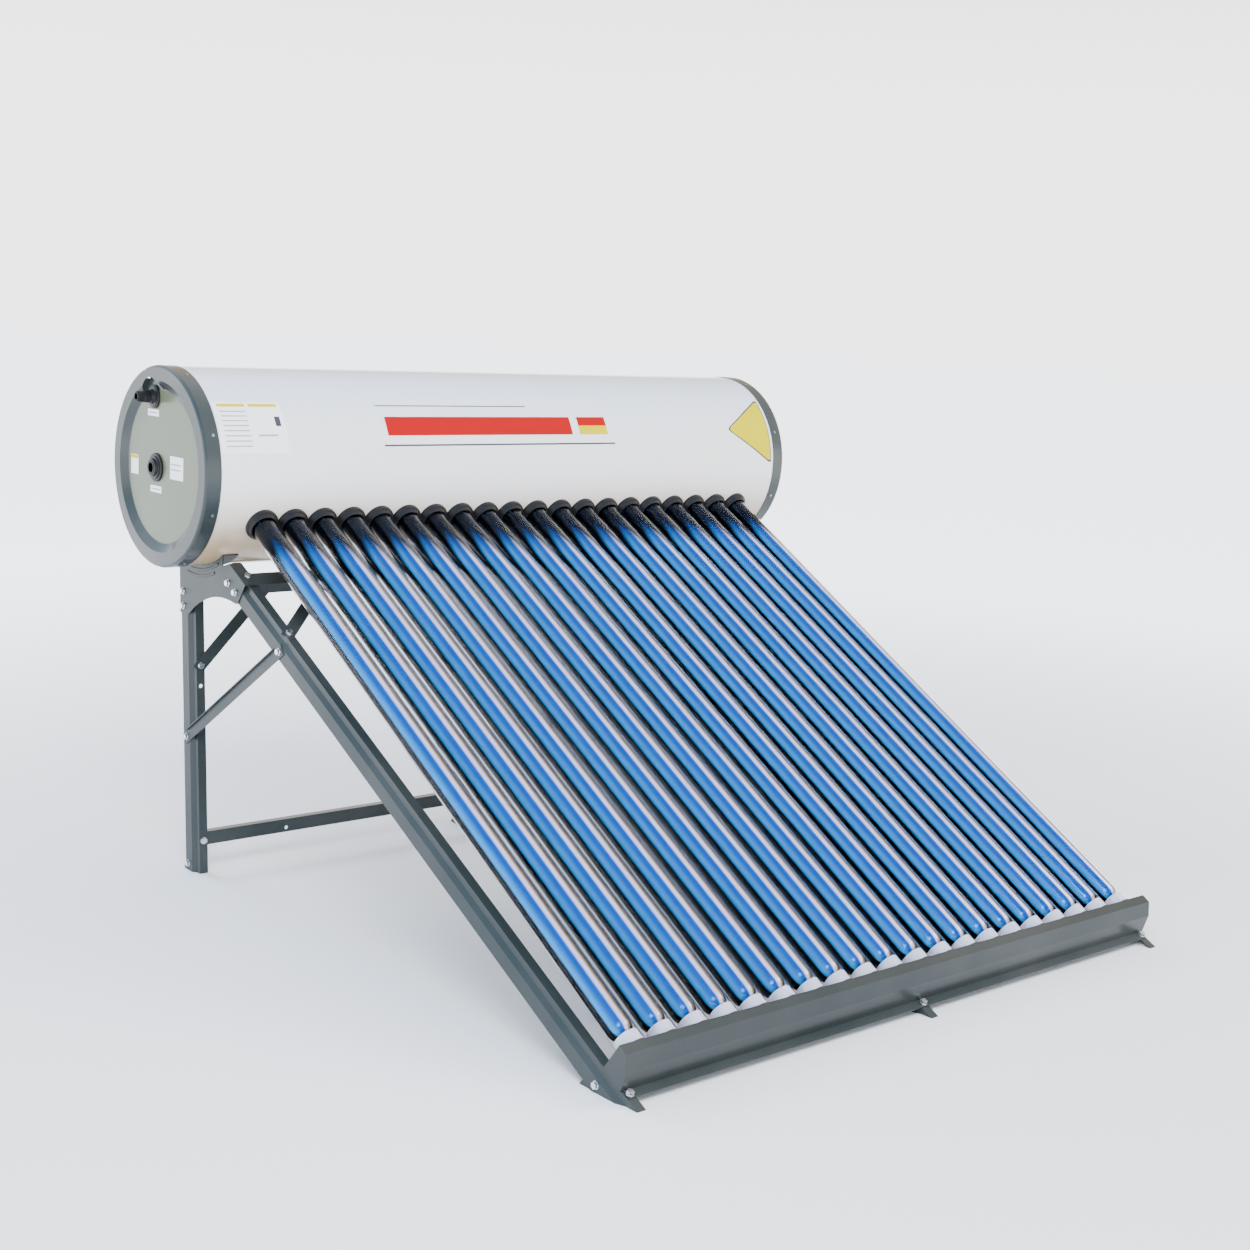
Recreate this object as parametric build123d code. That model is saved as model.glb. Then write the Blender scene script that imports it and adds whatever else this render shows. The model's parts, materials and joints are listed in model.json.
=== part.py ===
from build123d import *
import math
import os

os.makedirs("parts", exist_ok=True)

# Solar water heater: a horizontal storage tank with a row of evacuated glass tubes that slope
# down from it into a tail channel, on an angle-section stand.  Millimetres, +Z up.
# While it is being built, X runs along the tank from its middle, Y=0 is under the tank's axis,
# and the tubes slope down towards -Y.  Every piece is moved by row_origin as it is written.

# ---- driving dimensions: tubes
tube_count = 20
tube_pitch = 80.0
tube_diameter = 58.0
tube_length = 1800.0
tube_slope = 30.0
outer_glass_wall = 1.8
inner_glass_diameter = 47.0
inner_glass_wall = 1.6
tube_fit = 0.4

# ---- driving dimensions: tank
tank_diameter = 476.0
tank_length = 1844.0
tube_start = 93.0
channel_height = 62.5
shell_wall = 0.8
insulation_thickness = 48.0
inner_tank_wall = 1.2
inner_tank_length = 1736.0
inner_tank_round = 14.0
cap_wall = 1.5
cap_skirt = 40.0
cap_rim_round = 6.0
cap_ring_width = 36.0
cap_slope_width = 20.0
cap_dish_depth = 13.0
skin_fit = 0.1

# ---- driving dimensions: tank connections on the left cap
outlet_rise = 162.0
outlet_offset = 43.0
outlet_pipe_radius = 10.0
outlet_bore_radius = 8.0
outlet_reach = 48.0
outlet_boot_radius = 28.0
outlet_boot_tip_radius = 12.5
outlet_pocket_radius = 46.0
inlet_rise = -4.0
inlet_offset = 31.0
inlet_bore_radius = 12.0
inlet_pipe_radius = 15.0
inlet_reach = 16.0
inlet_grommet_radius = 34.0
port_depth = 70.0
port_fit = 0.2

# ---- driving dimensions: seals
seal_wall = 6.6
seal_flange = 5.0
seal_height = 16.0
inner_seal_wall = 4.0
inner_seal_length = 9.0

# ---- driving dimensions: tail channel
channel_half_length = 815.0
channel_wall = 1.5
tip_room = 38.0
channel_depth_top = 25.0
channel_depth_bottom = 53.0
channel_top_room = 38.0
channel_nose_room = 9.0
cup_wall = 2.0
cup_depth = 12.0
cup_drain_radius = 6.0

# ---- driving dimensions: stand
leg_spread = 811.0
leg_slope = 27.65
foot_overhang = 39.6
front_leg_gap = 158.95
leg_flange = 22.0
leg_upper_web = 15.0
leg_step = 8.0
leg_step_run = 10.0
leg_web = 57.0
leg_wall = 2.0
rear_foot_reach = 17.0
rear_leg_lean = 3.15
rear_leg_drop = 281.0
plate = 2.5
rail_width = 45.0
rail_lip = 26.0
bottom_rail_start = 31.0
top_rail_drop = 96.0
rear_rail_height = 33.0
rear_rail_low = 71.0
rear_rail_drop = 38.0
brace_width = 28.0
brace_lip = 8.0
knee_width = 30.0
front_knee_drop = 280.0
front_knee_run = 204.0
rear_knee_drop = 207.0
rear_knee_run = 187.0
side_brace_drop = 293.0
side_brace_depth = 38.0
side_brace_rear = (342.0, 36.0)

# ---- driving dimensions: saddles
saddle_width = 42.0
saddle_front_angle = 34.0
saddle_rear_angle = 21.0
saddle_arm_length = 92.0
saddle_arch_radius = 300.0
saddle_rear_overlap = 80.0
saddle_fit = 0.4

# ---- driving dimensions: fasteners
bolt_radius = 4.0
bolt_hole_radius = 4.5
bolt_flats = 13.0
bolt_head = 5.3
nut_height = 6.5
washer_radius = 8.5
washer_wall = 1.6
anchor_hole_radius = 5.0
foot_wall = 3.0
foot_flange = 28.0
screws_per_cap = 8
screw_radius = 2.0
screw_head_radius = 4.0
screw_head = 1.8
screw_inset = 14.0
rail_hole_radius = 5.0
rail_hole_place = 566.0
leg_hole_height = 470.0

# ---- sizes that follow from them
tank_radius = tank_diameter / 2
half_tank = tank_length / 2
shell_radius = tank_radius - cap_wall - skin_fit
inner_tank_radius = shell_radius - shell_wall - insulation_thickness
tube_radius = tube_diameter / 2
tube_top = tube_start
tube_tip = tube_start + tube_length
channel_mouth = tube_tip - tip_room
tube_hole_radius = tube_radius + tube_fit
seal_neck_radius = tube_hole_radius + seal_wall
cap_dish_radius = tank_radius - cap_ring_width - cap_slope_width
cap_dish_face = half_tank - cap_dish_depth
half_inner_tank = inner_tank_length / 2
outlet_tip = cap_dish_face + outlet_reach

slope_cos = math.cos(math.radians(tube_slope))
slope_sin = math.sin(math.radians(tube_slope))
leg_cos = math.cos(math.radians(leg_slope))
leg_sin = math.sin(math.radians(leg_slope))
lean_cos = math.cos(math.radians(rear_leg_lean))
lean_sin = math.sin(math.radians(rear_leg_lean))

# the stand follows the length of the tubes
tank_axis_height = channel_height + tube_tip * slope_sin
front_foot_reach = foot_overhang + tube_tip * slope_cos
front_leg_length = (front_foot_reach - front_leg_gap) / leg_cos
rear_leg_length = tank_axis_height - rear_leg_drop
top_rail_start = front_leg_length - top_rail_drop
rear_rail_high = rear_leg_length - rear_rail_drop
front_knee_leg = front_leg_length - front_knee_drop
rear_knee_leg = rear_leg_length - rear_knee_drop
side_brace_front = (front_leg_length - side_brace_drop, side_brace_depth)
saddle_arm_start = front_leg_length - saddle_arm_length
saddle_rear_drop = rear_leg_length - saddle_rear_overlap
row_origin = Vector((outlet_tip - half_tank) / 2, (front_foot_reach - tank_radius) / 2, 0)

tank_axis = Plane(origin=(0, 0, tank_axis_height), x_dir=(0, 1, 0), z_dir=(1, 0, 0))


def tube_plane(x=0.0):
    """Local Z runs down the tube from the tank's axis, local Y stands square off the tube row."""
    return Plane(origin=(x, 0, tank_axis_height), x_dir=(1, 0, 0), z_dir=(0, -slope_cos, -slope_sin))


def leg_plane(along=0.0):
    """Cross-section of a front leg: local Z runs up the leg, local Y goes down into it."""
    origin = (0, -front_foot_reach + along * leg_cos, along * leg_sin)
    return Plane(origin=origin, x_dir=(1, 0, 0), z_dir=(0, leg_cos, leg_sin))


def rear_plane(up=0.0):
    """Cross-section of a rear leg: local Z runs up the leg, local Y goes back from its flange."""
    origin = (0, -rear_foot_reach + up * lean_sin, up * lean_cos)
    return Plane(origin=origin, x_dir=(1, 0, 0), z_dir=(0, lean_sin, lean_cos))


def front_point(along, height, x=0.0):
    """A point given by its distance up a front leg and its height square off the leg's face."""
    y = -front_foot_reach + along * leg_cos - height * leg_sin
    return Vector(x, y, along * leg_sin + height * leg_cos)


def rear_point(up, back, x=0.0):
    """A point given by its distance up a rear leg and its distance behind the leg's flange."""
    y = -rear_foot_reach + up * lean_sin + back * lean_cos
    return Vector(x, y, up * lean_cos - back * lean_sin)


FRONT_SQUARE = Vector(0, -leg_sin, leg_cos)
REAR_SQUARE = Vector(0, -lean_cos, lean_sin)

UPWARD = (Align.CENTER, Align.CENTER, Align.MIN)
DOWNWARD = (Align.CENTER, Align.CENTER, Align.MAX)
CORNER = (Align.MIN, Align.MIN, Align.MIN)
nodes = {}


def tube_places():
    return [(i - (tube_count - 1) / 2) * tube_pitch for i in range(tube_count)]


def along_x(points, start, end):
    """A prism along X whose section is a polygon of (Y, Z) points."""
    face = make_face(Polyline(*[(0, y, z) for y, z in points], close=True))
    return Pos(start, 0, 0) * extrude(face, amount=end - start, dir=(1, 0, 0))


def turned(points):
    """A solid of revolution about local Z from a polygon of (radius, Z) points."""
    face = make_face(Polyline(*[(r, 0, z) for r, z in points], close=True))
    return revolve(face, axis=Axis.Z, revolution_arc=360)


def disc_along(plane, radius, start, end):
    return plane.location * Pos(0, 0, start) * Cylinder(radius, end - start, align=UPWARD)


def block(plane, x_range, y_range, z_range):
    low = (x_range[0], y_range[0], z_range[0])
    size = (x_range[1] - x_range[0], y_range[1] - y_range[0], z_range[1] - z_range[0])
    return plane.location * Pos(*low) * Box(*size, align=CORNER)


def put(name, *solids):
    """Keep a node as a flat list of its solids."""
    nodes[name] = [s for piece in solids for s in piece.solids()]


def drill(names, cutter):
    for name in names:
        nodes[name] = [s for piece in nodes[name] for s in (piece - cutter).solids()]


# ---- evacuated tubes
def test_tube(radius, top, centre):
    """A rod that starts at top and ends in a half ball, the centre of which is given."""
    side = Line((radius, 0, top), (radius, 0, centre))
    middle = (radius * math.sqrt(0.5), 0, centre + radius * math.sqrt(0.5))
    tip = ThreePointArc(side @ 1, middle, (0, 0, centre + radius))
    outline = [side, tip, Line(tip @ 1, (0, 0, top)), Line((0, 0, top), side @ 0)]
    return revolve(make_face(outline), axis=Axis.Z, revolution_arc=360)


def make_tube():
    """Double-walled glass tube, open and fused round its rim at the top, round at its tip."""
    inner_radius = inner_glass_diameter / 2
    tip_centre = tube_tip - tube_radius
    vacuum_tip = tip_centre + (tube_radius - outer_glass_wall - inner_radius) / 2
    outer = test_tube(tube_radius, tube_top, tip_centre)
    vacuum = test_tube(tube_radius - outer_glass_wall, tube_top + 4 * outer_glass_wall, tip_centre)
    core = test_tube(inner_radius, tube_top, vacuum_tip)
    water = test_tube(inner_radius - inner_glass_wall, tube_top - 1, vacuum_tip)
    return (outer - (vacuum - core)) - water


tube = tube_plane().location * make_tube()
for number, x in enumerate(tube_places(), start=1):
    put(f"evacuated_tube_{number:02d}", Pos(x, 0, 0) * tube)


# ---- tank: outer skin, insulation, inner tank
def tank_body(radius, half_length):
    return disc_along(tank_axis, radius, -half_length, half_length)


def tube_cutters(radius):
    return [disc_along(tube_plane(x), radius, 0, tank_radius + seal_height) for x in tube_places()]


shell_half_length = cap_dish_face - 4
seal_cutters = tube_cutters(seal_neck_radius)
shell_outer = tank_body(shell_radius, shell_half_length)
shell = shell_outer - tank_body(shell_radius - shell_wall, shell_half_length + 1)
put("tank_shell", shell - seal_cutters)

inner_outer = tank_body(inner_tank_radius, half_inner_tank)
inner_outer = fillet(inner_outer.edges().filter_by(GeomType.CIRCLE), inner_tank_round)
inner_hollow = tank_body(inner_tank_radius - inner_tank_wall, half_inner_tank - inner_tank_wall)
inner_hollow = fillet(inner_hollow.edges().filter_by(GeomType.CIRCLE), inner_tank_round - inner_tank_wall)
inner_seal_radius = tube_hole_radius + inner_seal_wall

outlet_centre = (0, outlet_offset, tank_axis_height + outlet_rise)
outlet_plane = Plane(origin=outlet_centre, x_dir=(0, 1, 0), z_dir=(-1, 0, 0))
inlet_centre = (0, inlet_offset, tank_axis_height + inlet_rise)
inlet_plane = Plane(origin=inlet_centre, x_dir=(0, 1, 0), z_dir=(-1, 0, 0))
port_start = half_inner_tank - inner_tank_wall
outlet_cut = disc_along(outlet_plane, outlet_pipe_radius + port_fit, port_start - 10, half_tank + 5)
inlet_cut = disc_along(inlet_plane, inlet_pipe_radius + port_fit, port_start - 10, half_tank + 5)
port_cuts = [outlet_cut, inlet_cut]

inner_tank = inner_outer - inner_hollow - tube_cutters(inner_seal_radius) - port_cuts
put("inner_tank", inner_tank)

foam = tank_body(shell_radius - shell_wall - skin_fit, cap_dish_face - cap_wall - skin_fit)
foam = foam - inner_outer - tube_cutters(seal_neck_radius + skin_fit) - port_cuts
put("tank_insulation", foam)


# ---- end caps
def cap_profile(wall):
    """Half-section of a cap as a solid cup, drawn in by wall on every outer face."""
    radius = tank_radius - wall
    ring_edge = tank_radius - cap_ring_width + wall / 2
    return [
        (0, half_tank - cap_skirt - 1 if wall else half_tank - cap_skirt),
        (radius, half_tank - cap_skirt - 1 if wall else half_tank - cap_skirt),
        (radius, half_tank - cap_rim_round),
        (radius - 0.3 * cap_rim_round, half_tank - 0.3 * cap_rim_round - wall * 0.6),
        (radius - cap_rim_round, half_tank - wall),
        (ring_edge, half_tank - wall),
        (cap_dish_radius + wall / 2, cap_dish_face - wall),
        (0, cap_dish_face - wall),
    ]


def make_cap(with_ports):
    outside = turned(cap_profile(0))
    inside = turned(cap_profile(cap_wall))
    place = Plane(origin=(0, 0, tank_axis_height), x_dir=(0, 1, 0), z_dir=(-1, 0, 0)).location
    outside = place * outside
    inside = place * inside
    if with_ports:
        outside = outside - disc_along(outlet_plane, outlet_pocket_radius, cap_dish_face, half_tank + 5)
        liner = outlet_pocket_radius + cap_wall
        inside = inside - disc_along(outlet_plane, liner, cap_dish_face - cap_wall, half_tank + 5)
    cap = outside - inside
    if with_ports:
        cap = cap - port_cuts
    return cap


put("end_cap_left", make_cap(True))
put("end_cap_right", mirror(make_cap(False), about=Plane.YZ))


# ---- connections: outlet and inlet stubs with their rubber grommets
def stub(plane, outer, bore, reach):
    start = port_start - port_depth + 40
    pipe = disc_along(plane, outer, start, cap_dish_face + reach)
    return pipe - disc_along(plane, bore, start - 1, cap_dish_face + reach + 1)


put("outlet_pipe", stub(outlet_plane, outlet_pipe_radius, outlet_bore_radius, outlet_reach))
put("inlet_port", stub(inlet_plane, inlet_pipe_radius, inlet_bore_radius, inlet_reach))


def ring_stack(plane, bore, steps):
    """A rubber grommet: rings of falling radius stacked outwards from the cap's dish."""
    outline = [(bore, cap_dish_face)]
    for radius, start, end in steps:
        outline += [(radius, cap_dish_face + start), (radius - 1.2, cap_dish_face + end)]
    outline.append((bore, cap_dish_face + steps[-1][2]))
    return plane.location * turned(outline)


boot_steps = [
    (outlet_boot_radius, 0, 4),
    (outlet_boot_radius - 4, 4, 7),
    (outlet_boot_tip_radius + 4, 7, 12),
    (outlet_boot_tip_radius + 2, 12, outlet_reach / 2),
    (outlet_boot_tip_radius, outlet_reach / 2, outlet_reach - 1),
]
inlet_steps = [
    (inlet_grommet_radius, 0, 5),
    (inlet_grommet_radius - 7, 5, 9),
    (inlet_grommet_radius - 13, 9, inlet_reach - 1),
]
put("outlet_grommet", ring_stack(outlet_plane, outlet_pipe_radius + port_fit, boot_steps))
put("inlet_grommet", ring_stack(inlet_plane, inlet_pipe_radius + port_fit, inlet_steps))


# ---- seals round the tubes
def make_dust_seal():
    neck = seal_neck_radius - port_fit
    outline = [
        (tube_hole_radius, shell_radius - 8),
        (neck, shell_radius - 8),
        (neck, shell_radius - 6),
        (seal_neck_radius + seal_flange, shell_radius - 6),
        (seal_neck_radius + seal_flange - 1, shell_radius + 7),
        (tube_hole_radius + 5, shell_radius + seal_height),
        (tube_hole_radius, shell_radius + seal_height),
    ]
    collar = tube_plane().location * turned(outline)
    inside_tank = tank_body(shell_radius, 100) - disc_along(tube_plane(), neck, 0, tank_radius)
    return collar - inside_tank


def make_inner_seal():
    start = inner_tank_radius - inner_seal_length
    outline = [
        (tube_hole_radius, start),
        (inner_seal_radius - port_fit, start),
        (inner_seal_radius - port_fit, inner_tank_radius + 1),
        (tube_hole_radius, inner_tank_radius + 1),
    ]
    return tube_plane().location * turned(outline)


dust_seal = make_dust_seal()
inner_seal = make_inner_seal()
put("dust_seals", *[Pos(x, 0, 0) * dust_seal for x in tube_places()])
put("inner_seals", *[Pos(x, 0, 0) * inner_seal for x in tube_places()])


# ---- tail channel that holds the tips of the tubes
def tube_to_leg(along, height):
    """Turn a place on the tube's axis and square off it into leg distances."""
    y = -along * slope_cos - height * slope_sin
    z = tank_axis_height - along * slope_sin + height * slope_cos
    run = y + front_foot_reach
    return run * leg_cos + z * leg_sin, -run * leg_sin + z * leg_cos


channel_floor = plate
top_front = tube_to_leg(channel_mouth + channel_depth_top, channel_top_room - 1)
nose = tube_to_leg(channel_mouth + channel_depth_top + 19, channel_nose_room)
heel = (tube_to_leg(channel_mouth + channel_depth_bottom, -31)[0], channel_floor)
back_room = tube_hole_radius + cup_wall + channel_wall + 1
back = (tube_to_leg(channel_mouth - 1, -back_room - 2)[0], channel_floor)
back_lip = tube_to_leg(channel_mouth - 4, -back_room)
top_mouth = tube_to_leg(channel_mouth + 3, channel_top_room)
channel_outline = [top_mouth, top_front, nose, heel, back, back_lip]


def leg_section(outline, start, end):
    return along_x([(front_point(s, n).Y, front_point(s, n).Z) for s, n in outline], start, end)


def shrink(outline, wall):
    """Offset an open outline by a wall's thickness to its inner side, with mitred corners."""
    moved = []
    for i, point in enumerate(outline):
        normals = []
        for a, b in ((i - 1, i), (i, i + 1)):
            if a >= 0 and b < len(outline):
                run = Vector(outline[b][0] - outline[a][0], outline[b][1] - outline[a][1]).normalized()
                normals.append(Vector(-run.Y, run.X))
        bend = sum(normals[1:], normals[0]).normalized()
        scale = wall / bend.dot(normals[0])
        moved.append((point[0] + bend.X * scale, point[1] + bend.Y * scale))
    return moved


channel_section = channel_outline + shrink(channel_outline, channel_wall)[::-1]
put("tail_channel", leg_section(channel_section, -channel_half_length, channel_half_length))
channel_reach = channel_half_length + channel_wall
put("tail_end_plate_left", leg_section(channel_outline, -channel_reach, -channel_half_length))
put("tail_end_plate_right", leg_section(channel_outline, channel_half_length, channel_reach))


def make_cup():
    """A cup with a drain hole under the tip of a tube, on a pad that stands on the channel's floor."""
    centre = tube_tip - tube_radius
    inner = tube_hole_radius
    outer = inner + cup_wall
    place = tube_plane().location
    pad_along, pad_height = tube_to_leg(centre, 0)
    pad_top = -pad_height + inner
    pad = block(leg_plane(pad_along), (-10, 10), (pad_top, -channel_floor - channel_wall), (-8, 8))
    body = place * test_tube(outer, centre - cup_depth, centre) + pad
    drain = disc_along(tube_plane(), cup_drain_radius, centre, centre + outer + 1)
    return body - place * test_tube(inner, centre - cup_depth - 1, centre) - drain


cup = make_cup()
put("tail_cups", *[Pos(x, 0, 0) * cup for x in tube_places()])


# ---- legs: angle sections with a stepped web
def angle_section(corner, side):
    """Section of a leg.  side is +1 where the flange runs towards +X, and -1 where it runs to -X."""
    slope_start = leg_upper_web
    slope_end = leg_upper_web + leg_step_run
    outer = [(leg_flange, 0), (0, 0), (0, slope_start), (-leg_step, slope_end), (-leg_step, leg_web)]
    inner = [
        (leg_wall - leg_step, leg_web),
        (leg_wall - leg_step, slope_end + 0.8),
        (leg_wall, slope_start + 0.8),
        (leg_wall, leg_wall),
        (leg_flange, leg_wall),
    ]
    return [(corner + side * x, y) for x, y in outer + inner]


def make_leg(plane, corner, side, start, end):
    face = make_face(Polyline(*[(x, y, 0) for x, y in angle_section(corner, side)], close=True))
    leg = plane.location * Pos(0, 0, start) * extrude(face, amount=end - start, dir=(0, 0, 1))
    ground = Box(3 * tank_length, 6 * front_foot_reach, 400, align=DOWNWARD)
    return leg - ground


middle_corner = 0.0
stations = {"left": (-leg_spread, 1), "middle": (middle_corner, 1), "right": (leg_spread, -1)}
flange_centre = leg_flange / 2
rail_end = leg_spread - 4

for side_name, (corner, side) in stations.items():
    put(f"front_leg_{side_name}", make_leg(leg_plane(), corner, side, -20, front_leg_length))
    put(f"rear_leg_{side_name}", make_leg(rear_plane(), corner, side, -20, rear_leg_length))


# ---- rails that tie the legs together
def lip_spans():
    """Stretches of a rail's lip between the legs."""
    gap = 3.0
    left = -leg_spread + leg_flange + gap
    middle_left = middle_corner - leg_step - gap
    middle_right = middle_corner + leg_flange + gap
    return [(left, middle_left), (middle_right, leg_spread - leg_flange - gap)]


def front_rail(start, base, lip_at_start):
    """An angle rail across the front legs.  base is the height of its underside."""
    end = start + rail_width
    top = base + plate
    flange = leg_section([(start, base), (end, base), (end, top), (start, top)], -rail_end, rail_end)
    edge = start if lip_at_start else start + rail_width - plate
    low = base + plate - rail_lip
    lip_outline = [(edge, low), (edge + plate, low), (edge + plate, base + plate), (edge, base + plate)]
    lips = [leg_section(lip_outline, a, b) for a, b in lip_spans()]
    return flange + lips


def knee_strap(plane_at, leg_along, run, start_x, side, low, high):
    """A strap at 45 degrees in a leg's plane, from the leg up and inwards by run."""
    reach = math.hypot(run, run) + knee_width
    strap = Box(reach, high - low, knee_width, align=(Align.MIN, Align.MIN, Align.CENTER))
    strap = Pos(-knee_width / 2, 0, 0) * strap
    strap = Rot(0, -45 if side > 0 else -135, 0) * strap
    return plane_at(leg_along).location * Pos(start_x, low, 0) * strap


top_rail = front_rail(top_rail_start, plate, True)
bottom_rail = front_rail(bottom_rail_start, 0.0, False)

for side_name in ("left", "right"):
    corner, side = stations[side_name]
    bolt_x = corner + side * flange_centre
    front_knee = knee_strap(leg_plane, front_knee_leg, front_knee_run, bolt_x, side, -plate, 0)
    rear_knee = knee_strap(rear_plane, rear_knee_leg, rear_knee_run, bolt_x, side, -plate, 0)
    put(f"front_knee_brace_{side_name}", front_knee)
    put(f"rear_knee_brace_{side_name}", rear_knee)
    clear = knee_width * 1.5 + 4
    notch_x = bolt_x + side * (top_rail_start - front_knee_leg)
    notch_span = (notch_x - clear / 2, notch_x + clear / 2)
    notch = block(leg_plane(top_rail_start), notch_span, (-plate, rail_lip), (-1, plate + 1))
    top_rail = top_rail - notch

put("top_rail", top_rail)
put("bottom_rail", bottom_rail)


def rear_rail(low):
    """An angle rail behind the rear legs' flanges, its top flange turned back."""
    half = leg_spread - leg_wall - 1
    web = block(rear_plane(low), (-half, half), (leg_wall, leg_wall + plate), (0, rear_rail_height))
    shelf = (rear_rail_height - plate, rear_rail_height)
    top = block(rear_plane(low), (-half, half), (leg_wall, leg_wall + rail_lip), shelf)
    for corner, side in (stations["left"], stations["right"]):
        span = (corner - leg_flange, corner + leg_flange)
        top = top - block(rear_plane(low), span, (leg_wall + plate, 2 * rail_lip), (-1, 2 * rear_rail_height))
    return web + top


put("rear_rail_lower", rear_rail(rear_rail_low))
put("rear_rail_upper", rear_rail(rear_rail_high))


def rail_passage(low):
    """The notch in the middle leg and its saddle that lets a rear rail run through."""
    web_side = middle_corner - leg_step - plate - 1
    return block(
        rear_plane(low), (web_side, middle_corner + leg_flange + 1),
        (leg_wall, leg_wall + rail_lip + 2), (-2, rear_rail_height + 2),
    )


for end in (-1, 1):
    hole_centre = rear_point(rear_rail_low + rear_rail_height / 3, 0, end * rail_hole_place)
    spare_hole = Plane(origin=hole_centre, z_dir=REAR_SQUARE).location * Cylinder(rail_hole_radius, 4 * plate)
    drill(["rear_rail_lower"], spare_hole)
for side_name in ("left", "right"):
    corner, side = stations[side_name]
    hole_centre = rear_point(leg_hole_height, 0, corner + side * flange_centre)
    leg_hole = Plane(origin=hole_centre, z_dir=REAR_SQUARE).location * Cylinder(rail_hole_radius, 4 * plate)
    drill([f"rear_leg_{side_name}"], leg_hole)
drill(["rear_leg_middle"], rail_passage(rear_rail_low))
drill(["rear_leg_middle"], rail_passage(rear_rail_high))


# ---- saddles that carry the tank on the tops of the legs
def on_tank(angle, radius):
    """A point at an angle from straight below the tank's axis, positive towards the front."""
    turn = math.radians(angle)
    return Vector(0, -radius * math.sin(turn), tank_axis_height - radius * math.cos(turn))


cradle_inner = tank_radius + saddle_fit - cap_wall
cradle_outer = cradle_inner + plate


def make_saddle(corner, side):
    web_face = corner - side * leg_step
    arm_end = front_leg_length - 6
    web_low = saddle_arm_start + 8
    rear_bottom = rear_point(saddle_rear_drop, leg_web + 2)
    rear_inner = rear_point(saddle_rear_drop, leg_upper_web)
    front_inner = front_point(web_low + 8, -leg_web - 6)
    arch_top = Vector(0, (rear_inner.Y + front_inner.Y) / 2, (rear_inner.Z + front_inner.Z) / 2 + 28)
    front_tip = on_tank(saddle_front_angle - 3, cradle_outer + 20)
    outline = [
        ThreePointArc(on_tank(-saddle_rear_angle, cradle_inner), on_tank(0, cradle_inner),
                      on_tank(saddle_front_angle, cradle_inner)),
        Line(on_tank(saddle_front_angle, cradle_inner), front_tip),
        Line(front_tip, front_point(arm_end, plate)),
        Line(front_point(arm_end, plate), front_point(saddle_arm_start, plate)),
        Line(front_point(saddle_arm_start, plate), front_point(web_low, -leg_web)),
        Line(front_point(web_low, -leg_web), front_inner),
        ThreePointArc(front_inner, arch_top, rear_inner),
        Line(rear_inner, rear_bottom),
        Line(rear_bottom, on_tank(-saddle_rear_angle, cradle_inner)),
    ]
    web = Pos(web_face, 0, 0) * extrude(make_face(outline), amount=plate, dir=(-side, 0, 0))
    inboard = side * (saddle_width - plate)
    cradle_face = make_face([
        ThreePointArc(on_tank(-saddle_rear_angle, cradle_inner), on_tank(0, cradle_inner),
                      on_tank(saddle_front_angle, cradle_inner)),
        Line(on_tank(saddle_front_angle, cradle_inner), on_tank(saddle_front_angle, cradle_outer)),
        ThreePointArc(on_tank(saddle_front_angle, cradle_outer), on_tank(0, cradle_outer),
                      on_tank(-saddle_rear_angle, cradle_outer)),
        Line(on_tank(-saddle_rear_angle, cradle_outer), on_tank(-saddle_rear_angle, cradle_inner)),
    ])
    cradle = Pos(web_face, 0, 0) * extrude(cradle_face, amount=abs(inboard), dir=(side, 0, 0))
    arm_width = leg_step + leg_flange
    arm = leg_section(
        [(saddle_arm_start, 0), (arm_end, 0), (arm_end, plate), (saddle_arm_start, plate)],
        *sorted((web_face, web_face + side * arm_width)),
    )
    return web + cradle + arm


for side_name, (corner, side) in stations.items():
    put(f"tank_saddle_{side_name}", make_saddle(corner, side))
drill(["tank_saddle_middle"], rail_passage(rear_rail_high))


# ---- side braces between the front and rear legs of each end
def make_side_brace(corner, side):
    front = front_point(side_brace_front[0], -side_brace_front[1])
    rear = rear_point(side_brace_rear[0], side_brace_rear[1])
    run = (front - rear).normalized()
    plane = Plane(origin=rear, x_dir=run, z_dir=(-side, 0, 0))
    up = 1 if plane.y_dir.Z > 0 else -1
    reach = (front - rear).length + brace_width
    edge_on = (Align.MIN, Align.CENTER, Align.MIN)
    web = Pos(-brace_width / 2, 0, 0) * Box(reach, brace_width, plate, align=edge_on)
    lip_base = up * (brace_width / 2 - plate / 2)
    lip = Box(reach - 2 * brace_width, plate, brace_lip, align=edge_on)
    lip = Pos(brace_width / 2, lip_base, 0) * lip
    return Pos(corner - side * leg_step, 0, 0) * plane.location * (web + lip)


for side_name in ("left", "right"):
    put(f"side_brace_{side_name}", make_side_brace(*stations[side_name]))


# ---- feet bolted inside the legs' webs
def make_foot(corner, side, web_points, flange_range):
    inner_face = corner - side * (leg_step - leg_wall)
    web = make_face(Polyline(*[(0, y, z) for y, z in web_points], close=True))
    upright = Pos(inner_face, 0, 0) * extrude(web, amount=foot_wall, dir=(side, 0, 0))
    x_range = sorted((inner_face, inner_face + side * foot_flange))
    flange = block(Plane.XY, x_range, flange_range, (0, foot_wall))
    anchor_x = inner_face + side * (foot_flange + foot_wall) / 2
    anchor_y = sum(flange_range) / 2
    hole = Pos(anchor_x, anchor_y, 0) * Cylinder(anchor_hole_radius, 3 * foot_wall)
    return upright + flange - hole


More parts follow.
